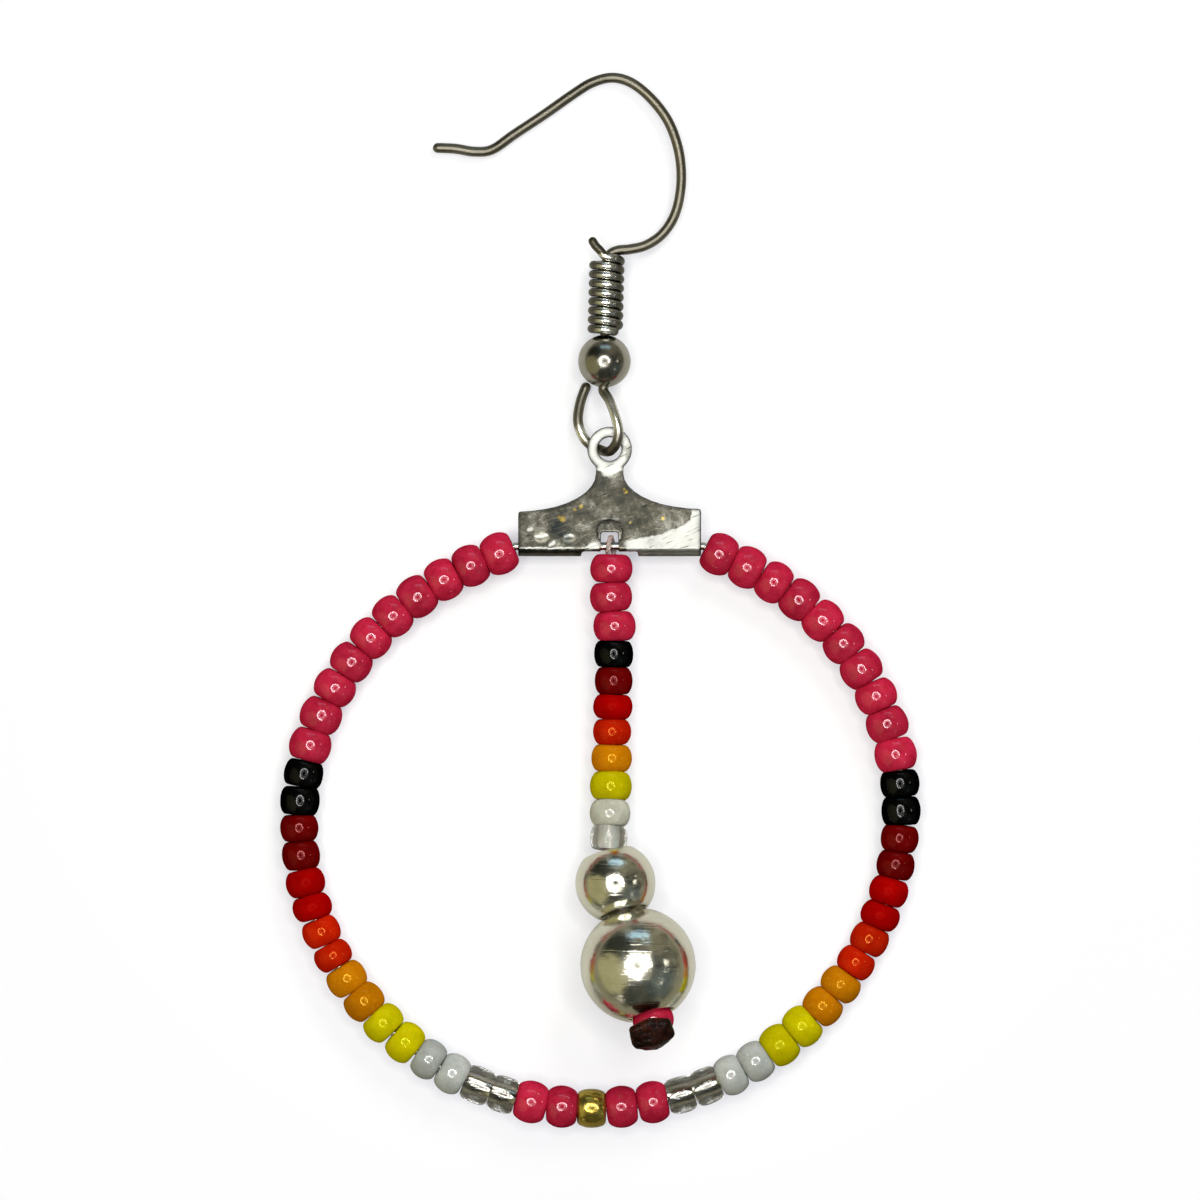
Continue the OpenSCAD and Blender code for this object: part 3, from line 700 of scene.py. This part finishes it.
hook = {"wire": 0.25, "ball": (0.22, 22.9, 1.32), "ballRadius": 1.32, "bore": 0.29, "rim": 0.06,
        "shank": (0.026, 1, -0.075), "lieBack": 0.075, "lieLeft": 0.031, "shankTop": 28.02, "steps": 8,
        "highlightSpots": [(0.78, 20.15, 0.85), (-0.95, 19.3, 0.4)],          # painted highlight places: x, y, radius
        "route": [(-8.35, 33.6), (-7.25, 33.55), (-6.3, 33.4), (-5.4, 33.5), (-4.3, 34.25), (-2.8, 35.25),
                  (-1.3, 36.3), (-0.4, 36.85), (0.6, 37.1), (1.55, 36.85), (2.5, 36.1), (3.35, 35), (3.85, 33.75),
                  (4.05, 32.5), (4, 31.3), (3.7, 30.15), (3.1, 29.25), (2.3, 28.7), (1.5, 28.5), (0.95, 28.45),
                  (0.57, 28.3)],
        "loop": [(0.46, 20.95, 1.66), (0.76, 20.15, 1.93), (0.92, 19.4, 2.04), (0.83, 18.85, 1.96), (0.6, 18.5, 1.66),
                 (0.36, 18.4, 1.3), (0, 18.5, 0.99), (-0.5, 18.75, 0.86), (-0.9, 19.25, 0.8), (-1.1, 19.95, 0.71),
                 (-1.02, 20.7, 0.53), (-0.82, 21.35, 0.38), (-0.6, 21.85, 0.3)]}
coil = {"wire": 0.22, "start": 24.32, "turns": 8, "first": 30, "last": 90, "pitch": 0.456, "radius": 0.67,
        "steps": 36,
        "tail": [(-0.18, 0.12, 0), (-0.36, 0.34, -0.04), (-0.6, 0.6, -0.1), (-0.82, 0.98, -0.18)],
        # painted shade in the valleys and down the sides, tarnish on the loose end, a painted highlight and less
        # roughness where the wire faces up
        "valley": 1.15, "valleyDepth": 0.6, "sideShade": 0.55, "looseTarnish": 0.5, "looseFrom": 0.25,
        "topFrom": 0.72, "topOver": 0.2}
shank = Vector(hook["shank"]).normalized()
ballPlace = Vector(hook["ball"])


def onShank(y):
    return ballPlace + shank * (y - ballPlace.y) / shank.y


def lying(x, y):
    return Vector((x, y, ballPlace.z - hook["lieBack"] * (y - ballPlace.y) + hook["lieLeft"] * (x - ballPlace.x)))


def makeHook():
    upper = [lying(*p) for p in hook["route"]] + [onShank(hook["shankTop"]), onShank(hook["shankTop"] - 0.5)]
    lower = [onShank(21.9), onShank(21.65), onShank(21.4)] + [Vector(p) for p in hook["loop"]]
    path, thickness = roundedTips(curvePoints(upper, hook["steps"]) + curvePoints(lower, hook["steps"]), hook["wire"])
    wire = makeWire("earWire", "hook_metal", "ear_hook", path, hook["wire"], 24, hookSteel, thickness, uneven=0.02)
    polishAndHighlight = []
    for vertex in wire.data.vertices:   # two places on the open loop get a painted highlight and less roughness
        p = fromMetres(vertex.co)
        polishAndHighlight.append(max(exp(-(hypot(p.x - x, p.y - y) / r) ** 4) for x, y, r in hook["highlightSpots"]))
    fillAttribute(wire.data, "polishAndHighlight", polishAndHighlight)


def makeCoil():
    acrossOne = (Vector((1, 0, 0)) - shank * shank.x).normalized()
    acrossTwo = acrossOne.cross(shank)
    path = []
    for k in range(int(coil["turns"] * coil["steps"] + (coil["last"] - coil["first"]) * coil["steps"] / 360) + 1):
        a = radians(coil["first"] + 360 * k / coil["steps"])
        path.append(onShank(coil["start"]) + shank * coil["pitch"] * k / coil["steps"]
                    + coil["radius"] * (cos(a) * acrossOne + sin(a) * acrossTwo))
    top = path[-1]
    path += curvePoints([top] + [top + Vector(p) for p in coil["tail"]], 6)[1:]
    path, thickness = roundedTips(path, coil["wire"])
    wire = makeWire("hookCoilWire", "hook_metal", "hook_coil", path, coil["wire"], 20, hookSteel, thickness,
                    uneven=0.01)
    looseY = onShank(coil["start"]).y + coil["pitch"] * coil["turns"] + coil["looseFrom"]
    polishAndHighlight, tarnishAndShade = [], []
    for vertex in wire.data.vertices:
        p = fromMetres(vertex.co)
        out = p - onShank(p.y)
        out -= shank * out.dot(shank)
        # painted shade between the turns and down the sides, a painted highlight on the tops; tarnish on the loose
        # end
        valley = upToOne(coil["valley"] - (out.length - coil["radius"]) / (coil["valleyDepth"] * coil["wire"]))
        onTop = upToOne((out.z / max(out.length, 0.001) - coil["topFrom"]) / coil["topOver"])
        loose = p.y > looseY
        polishAndHighlight.append(0.0 if loose else onTop)
        tarnishAndShade.append(coil["looseTarnish"] if loose else max(valley, coil["sideShade"] * (1 - onTop)))
    fillAttribute(wire.data, "polishAndHighlight", polishAndHighlight)
    fillAttribute(wire.data, "tarnishAndShade", tarnishAndShade)


def drilledBall(name, slotName, node, place, along, radius, bore, lip, material, dent, around=96, across=40):
    half = asin((bore + lip) / (radius - lip))          # from the axis to where the rounded rim meets the ball
    section = [(radius * sin(a), radius * cos(a))       # (distance from the axis, height along it)
               for a in (half + (pi - 2 * half) * k / across for k in range(across + 1))]
    rimSteps, boreSteps = 8, 8
    rim = []
    for k in range(1, rimSteps + 1):
        turn = (pi / 2 - half) + (half + pi / 2) * k / rimSteps
        rim.append((bore + lip + lip * cos(turn), -(radius - lip) * cos(half) - lip * sin(turn)))
    inner = [(bore, rim[-1][1] * (1 - 2 * k / boreSteps)) for k in range(1, boreSteps)]
    section += rim + inner + [(x, -z) for x, z in reversed(rim)]
    turnTo = Vector(along).to_track_quat("Z", "Y").to_matrix()
    points = []
    for j in range(around):
        a = 2 * pi * j / around
        for x, z in section:
            p = Vector(place) + turnTo @ Vector((x * cos(a), x * sin(a), z))
            inward = (Vector(place) - p).normalized()
            points.append(toMetres(p + inward * dent * (0.5 + 0.5 * noise.noise(p * 1.3))))
    n = len(section)
    faces = [(j * n + i, j * n + (i + 1) % n, (j + 1) % around * n + (i + 1) % n, (j + 1) % around * n + i)
             for j in range(around) for i in range(n)]
    mesh = bpy.data.meshes.new(name)
    mesh.from_pydata(points, [], faces)
    bm = bmesh.new()
    bm.from_mesh(mesh)
    bmesh.ops.recalc_face_normals(bm, faces=bm.faces)
    bm.to_mesh(mesh)
    bm.free()
    smoothFaces(mesh)
    mesh.materials.append(material)
    placeCad(newObject(name, mesh), slotName, node)


makeHook()
makeCoil()
drilledBall("hookBallPolished", "hook_metal", "hook_ball", ballPlace, shank, hook["ballRadius"], hook["bore"],
            hook["rim"], ballSteel, 0.02)
print("ear hook bent")


# Rough shapes that keep a solid's own form: the connector and the burnt end

def remeshed(name, node, voxel, rounds):
    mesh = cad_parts[node].data.copy()
    mesh.name = name
    bm = bmesh.new()
    bm.from_mesh(mesh)
    bmesh.ops.remove_doubles(bm, verts=bm.verts, dist=0.000002)
    bm.to_mesh(mesh)
    bm.free()
    obj = newObject(name, mesh)
    fine = obj.modifiers.new("fine", "REMESH")
    fine.mode = "VOXEL"
    fine.voxel_size = voxel * mm
    soften = obj.modifiers.new("soften", "SMOOTH")
    soften.factor = 0.5
    soften.iterations = rounds
    return keepShape(obj)


def finishMesh(obj, material):
    obj.data.materials.clear()
    obj.data.materials.append(material)
    smoothFaces(obj.data)


connector = {"voxel": 0.055, "smoothing": 2, "dent": 0.014, "inset": 0.012, "front": 1.61, "foldUnder": 13.52,
             # its outline: middle, half widths, heights and the radii of ring, eye and thread hole
             "middle": 0.48, "halfBar": 4.575, "halfNeck": 0.7, "neckY": 17.31, "footY": 13.18, "footX": 1.4,
             "shoulders": ((1, 15.56), (-1, 15.43)), "corner": (0.14, 0.04), "ringY": 18.52, "ringRadius": 1.13,
             "eyeRadius": 0.57, "holeY": 14.37, "holeRadius": 0.6, "step": 0.05,
             # the ring is white out to this far, wear and painted highlight, apart from a place of painted shade, as
             # in softShape
             "ringWearAndHighlight": 1.15, "ringReach": 1.2, "ringShade": (1.4, 18.3, 0.28, 0.5, 0),
             # painted shade: on sides turned this far on plate and fold, and this near to an edge
             "plateTurned": 0.8, "foldTurned": 0.35, "plateSideShade": 0.85, "edgeShadeWidth": 0.13,
             # the bright wedge, scratched wear and painted highlight: its upper edge, its lowest and leftmost place,
             # and its strength
             "wedge": [(1.0, 13.95), (3.1, 14.34), (3.93, 14.63), (4.5, 15.0), (4.62, 15.9), (5.2, 15.9)],
             "wedgeLow": 13.3, "wedgeLeft": 1.1, "wedgeWearAndHighlight": 0.85,
             # worn places, and painted highlights over the dents: x, y, half width, half height, turn in degrees,
             # strength
             "wearAndHighlight": [(-0.35, 13.68, 0.42, 0.16, 25, 1.0), (-2.6, 13.56, 1.5, 0.06, 0, 0.9),
                      (0.4, 15.02, 0.5, 0.06, 0, 0.7), (-2.95, 14.2, 0.24, 0.09, 0, 1.1),
                      (-1.52, 14.18, 0.22, 0.08, 0, 1.0), (-2.28, 13.84, 0.22, 0.1, 25, 0.9),
                      (-3.46, 14.52, 0.1, 0.07, 0, 0.8), (0.48, 17.45, 0.4, 0.3, 0, 0.95)],
             # pressed dents: x, y, half width, half height, turn, depth
             "dents": [(-2.93, 14.12, 0.3, 0.2, 0, 0.025), (-1.52, 14.1, 0.28, 0.18, 0, 0.02),
                       (-2.28, 13.8, 0.24, 0.17, 25, 0.02)],
             # flecks: x, y, radius
             "flecks": [(-1.87, 15.03, 0.13), (-2.02, 15.12, 0.08), (-0.95, 15.65, 0.1), (-1.25, 15.5, 0.07),
                        (1.31, 16.39, 0.09), (1.2, 16.52, 0.06), (3.13, 15.06, 0.1), (1.5, 14.85, 0.06)]}


def connectorEdge():                    # points along the plate's outline and its holes
    middle, half, neck, neckY, footY = (connector[key] for key in ("middle", "halfBar", "halfNeck", "neckY", "footY"))
    cut, small = connector["corner"]
    points = []
    for s, y in connector["shoulders"]:
        corners = [(s * (half - (half - neck) * cos(radians(t))), neckY - (neckY - y) * sin(radians(t)))
                   for t in range(0, 81, 2)]
        corners += [(s * (half - cut), y), (s * (half - small), y - small), (s * half, y - cut), (s * half, footY),
                    (s * connector["footX"], footY)]
        for (ax, ay), (bx, by) in zip(corners, corners[1:]):
            number = max(int(hypot(bx - ax, by - ay) / connector["step"]), 1)
            points += [(middle + ax + (bx - ax) * k / number, ay + (by - ay) * k / number) for k in range(number)]
    for y, radius, turns in ((connector["ringY"], connector["ringRadius"], range(-52, 233, 2)),
                             (connector["ringY"], connector["eyeRadius"], range(0, 360, 4)),
                             (connector["holeY"], connector["holeRadius"], range(-45, 226, 4))):
        points += [(middle + radius * cos(radians(t)), y + radius * sin(radians(t))) for t in turns]
    tree = KDTree(len(points))
    for i, (x, y) in enumerate(points):
        tree.insert((x, y, 0), i)
    tree.balance()
    return tree


def softShape(x, y, shape):
    cx, cy, halfX, halfY, turn = shape[:5]
    a = radians(turn)
    u = ((x - cx) * cos(a) + (y - cy) * sin(a)) / halfX
    v = (-(x - cx) * sin(a) + (y - cy) * cos(a)) / halfY
    return exp(-0.7 * (u * u + v * v) ** 2)


def wedgeShape(x, y):                   # the scraped wedge at the bar's right, under a slanting edge: wear with a painted highlight
    for (ax, ay), (bx, by) in zip(connector["wedge"], connector["wedge"][1:]):
        if ax <= x < bx:
            under = (ay + (by - ay) * (x - ax) / (bx - ax) - y) / 0.08
            sides = min((x - connector["wedgeLeft"]) / 0.3, (y - connector["wedgeLow"]) / 0.08)
            return connector["wedgeWearAndHighlight"] * upToOne(min(under, sides))
    return 0.0


def makeConnector():
    plate = remeshed("connectorPlate", "connector", connector["voxel"], connector["smoothing"])
    mesh = plate.data
    edge = connectorEdge()
    wearAndHighlight, flecks, edgeShade = [], [], []
    for vertex in mesh.vertices:
        p = fromMetres(vertex.co)
        normal = vertex.normal
        onFold = p.y < connector["foldUnder"]
        onTop = p.z > connector["front"] - 0.2 or (onFold and normal.z > 0.1)
        wave = noise.noise(Vector((p.x * 1.1, p.y * 1.1, p.z))) + 0.5 * noise.noise(p * 3.1)
        vertex.co = vertex.co - normal * (connector["inset"] + connector["dent"] * (0.5 + 0.5 * wave)) * mm
        if onTop:
            vertex.co.z -= max(shape[5] * softShape(p.x, p.y, shape) for shape in connector["dents"]) * mm
        rough = 0.25 * noise.noise(p * 4)
        y = max(p.y, connector["foldUnder"] - 0.08)         # the fold carries on what the plate has above it
        # wear, with painted highlights over the dents and on the wedge
        value = max(shape[5] * softShape(p.x + rough, y + 0.3 * rough, shape) for shape in connector["wearAndHighlight"])
        value = max(value, wedgeShape(p.x, y + 0.25 * rough))
        if hypot(p.x - connector["middle"], p.y - connector["ringY"]) < connector["ringReach"]:
            # painted shade on the ring's right side
            paintedRingShade = softShape(p.x + rough, p.y, connector["ringShade"])
            value = connector["ringWearAndHighlight"] - 0.75 * paintedRingShade + 0.6 * rough
        wearAndHighlight.append(value if onTop else 0.1)
        fleck = max(exp(-(((p.x - x) ** 2 + (p.y - y) ** 2) / r ** 2) ** 2) for x, y, r in connector["flecks"])
        flecks.append(fleck * (0.6 + 0.4 * noise.noise(p * 14)) if onTop else 0.0)
        # painted shade on sides and along the outline, standing in for dark reflections
        turned = connector["foldTurned" if onFold else "plateTurned"]
        onSide = upToOne((turned - abs(normal.z)) * 2.0) * connector["plateSideShade"]
        fromEdge = edge.find((p.x, p.y, 0))[2] / (connector["edgeShadeWidth"] + 0.05 * noise.noise(p * 2.0))
        edgeShade.append(max(onSide, exp(-fromEdge ** 2) if onTop else 0.0))
    for name, values in (("wearAndHighlight", wearAndHighlight), ("fleck", flecks), ("edgeShade", edgeShade)):
        fillAttribute(mesh, name, values)
    finishMesh(plate, sheetSilver)
    placeCad(plate, "silver_sheet", "connector")


makeConnector()
print("connector pressed")


# The drop: thread, beads, two mirror balls, the end bead and the knot

drop = {"beads": [("drop_pink_1", "pink", 0.57, 12.6), ("drop_pink_2", "pink", 0.55, 11.15),
                  ("drop_pink_3", "pink", 0.72, 9.71), ("drop_black", "black", 0.68, 8.32),
                  ("drop_dark_red", "dark_red", 0.68, 6.97), ("drop_red", "red", 0.64, 5.68),
                  ("drop_orange", "orange", 0.6, 4.42), ("drop_amber", "amber", 0.58, 3.11),
                  ("drop_yellow", "yellow", 0.54, 1.73), ("drop_white", "white", 0.5, 0.35),
                  ("drop_crystal", "crystal", 0.44, -0.86)],
        "gapShown": -0.04, "tilt": 0.02, "climbFrom": 3.5, "climb": 0.0215,
        "finish": {"crystal": {"Lining": paleLining}, "white": {"Finish": warmWhite, "Lining": warmWhite}}}
thread = {"radius": 0.15, "ply": 0.085, "tight": 0.95, "twist": 1.6, "x": 0.54,     # twist in turns for 1 mm
          # the loop round the hoop's wire: sideways, y, upwards; then the way into the first ball
          "loop": [(0.17, 12.3, 0), (0.17, 12.9, -0.02), (0.17, 13.26, -0.12), (0.1, 13.68, -0.44), (0, 14.12, 0),
                   (-0.1, 13.68, 0.44), (-0.17, 13.26, 0.12), (-0.17, 12.9, 0.02), (-0.17, 12.3, 0)],
          "intoBall": (0.5, -1.9, 1.72)}
balls = {"small": (0.77, -3.09), "smallRadius": 2.0, "largeRadius": 2.87, "mouth": 1.16, "rimGap": 0.04,
         "swing": 15.4, "endOut": 2.88, "endRadius": 1.05, "endLength": 1.36, "threadOut": 3.56, "lip": 0.09}
knotSizes = {"voxel": 0.04, "smoothing": 14, "depth": 0.1, "swell": 0.02,
             "waves": ((1.7, 1.0), (4.2, 0.6), (9.0, 0.3))}     # how fine, how strong


def rimDistance(radius):
    return sqrt(radius ** 2 - balls["mouth"] ** 2)


apart = rimDistance(balls["smallRadius"]) + rimDistance(balls["largeRadius"]) + balls["rimGap"]
climb = asin((balls["largeRadius"] - balls["smallRadius"]) / apart)
swing = radians(balls["swing"])
ballAxis = Vector((sin(swing) * cos(climb), -cos(swing) * cos(climb), sin(climb)))
smallPlace = Vector((*balls["small"], balls["smallRadius"]))
largePlace = smallPlace + apart * ballAxis


def threadHeight(y):
    return hoop["wireHeight"] + drop["climb"] * max(drop["climbFrom"] - y, 0) ** 2


def makeDropBeads():
    places = [Vector((x, y, threadHeight(y))) for _, _, x, y in drop["beads"]]
    lengths = [kinds[kindName][1] for _, kindName, _, _ in drop["beads"]]
    last = len(places) - 1
    for i, (node, kindName, _, _) in enumerate(drop["beads"]):
        ahead, behind = places[min(i + 1, last)], places[max(i - 1, 0)]
        along = (ahead - behind).normalized()
        up = (places[i] - behind).length * lengths[i] / (lengths[i] + lengths[i - 1]) if i else lengths[i] / 2
        down = (ahead - places[i]).length * lengths[i] / (lengths[i] + lengths[i + 1]) if i < last else lengths[i] / 2
        heading = along + drop["tilt"] * Vector((unevenness(i + 5), 0, unevenness(i + 50)))
        beadRow(node.replace("drop_", "bead_drop_"), "bead_" + kindName, node, kindName,
                [{"place": places[i] + along * (down - up) / 2, "heading": heading.normalized(),
                  "girth": kinds[kindName][0], "reach": up + down - drop["gapShown"],
                  "shade": 0.5 + 0.5 * unevenness(i + 80)}], seed=40.0 + i, **drop["finish"].get(kindName, {}))


def makeThread():
    route = [(thread["x"] + sideways, y, hoop["wireHeight"] + up) for sideways, y, up in thread["loop"]]
    route += [(x, y, threadHeight(y)) for _, _, x, y in drop["beads"][1:]]
    route += [thread["intoBall"], smallPlace, largePlace, largePlace + balls["threadOut"] * ballAxis]
    path = curvePoints(route, 12)
    lengths = alongRoute(path)
    fromMiddle = (thread["radius"] - thread["ply"]) * thread["tight"]
    plies = []
    for ply in range(2):
        points = []
        for i, p in enumerate(path):
            ahead = (path[min(i + 1, len(path) - 1)] - path[max(i - 1, 0)]).normalized()
            first = ahead.cross(Vector((0.31, 0.17, 0.94))).normalized()
            second = ahead.cross(first)
            a = 2 * pi * lengths[i] * thread["twist"] + pi * ply
            points.append(p + (cos(a) * first + sin(a) * second) * fromMiddle)
        plies.append(makeWire(f"ply{ply}", None, None, points, thread["ply"], 10, nylon))
    twisted = plies[0]
    bm = bmesh.new()
    for piece in plies:
        bm.from_mesh(piece.data)
    bm.to_mesh(twisted.data)
    bm.free()
    smoothFaces(twisted.data)
    bpy.data.objects.remove(plies[1])
    twisted.name = "threadTwisted"
    placeCad(twisted, "thread", "drop_thread")


def makeKnot():
    knot = remeshed("burntEnd", "end_knot", knotSizes["voxel"], knotSizes["smoothing"])
    for vertex in knot.data.vertices:
        p = fromMetres(vertex.co)
        wave = sum(strength * noise.noise(p * fine) for fine, strength in knotSizes["waves"])
        inward = knotSizes["depth"] * (0.5 + 0.5 * wave) - knotSizes["swell"]
        vertex.co = vertex.co - vertex.normal * inward * mm
    finishMesh(knot, burnt)
    placeCad(knot, "burnt_thread", "end_knot")


makeDropBeads()
makeThread()
drilledBall("smallBallMirror", "mirror_silver", "small_ball", smallPlace, ballAxis, balls["smallRadius"],
            balls["mouth"], balls["lip"], mirrorSilver, 0.015)
drilledBall("largeBallMirror", "mirror_silver", "large_ball", largePlace, ballAxis, balls["largeRadius"],
            balls["mouth"], balls["lip"], mirrorSilver, 0.02, 128, 56)
beadRow("bead_end", "bead_pink", "end_bead", "pink",
        [{"place": largePlace + balls["endOut"] * ballAxis, "heading": ballAxis, "girth": balls["endRadius"],
          "reach": balls["endLength"], "shade": 0.7}], seed=60.0)
makeKnot()
print("drop strung")
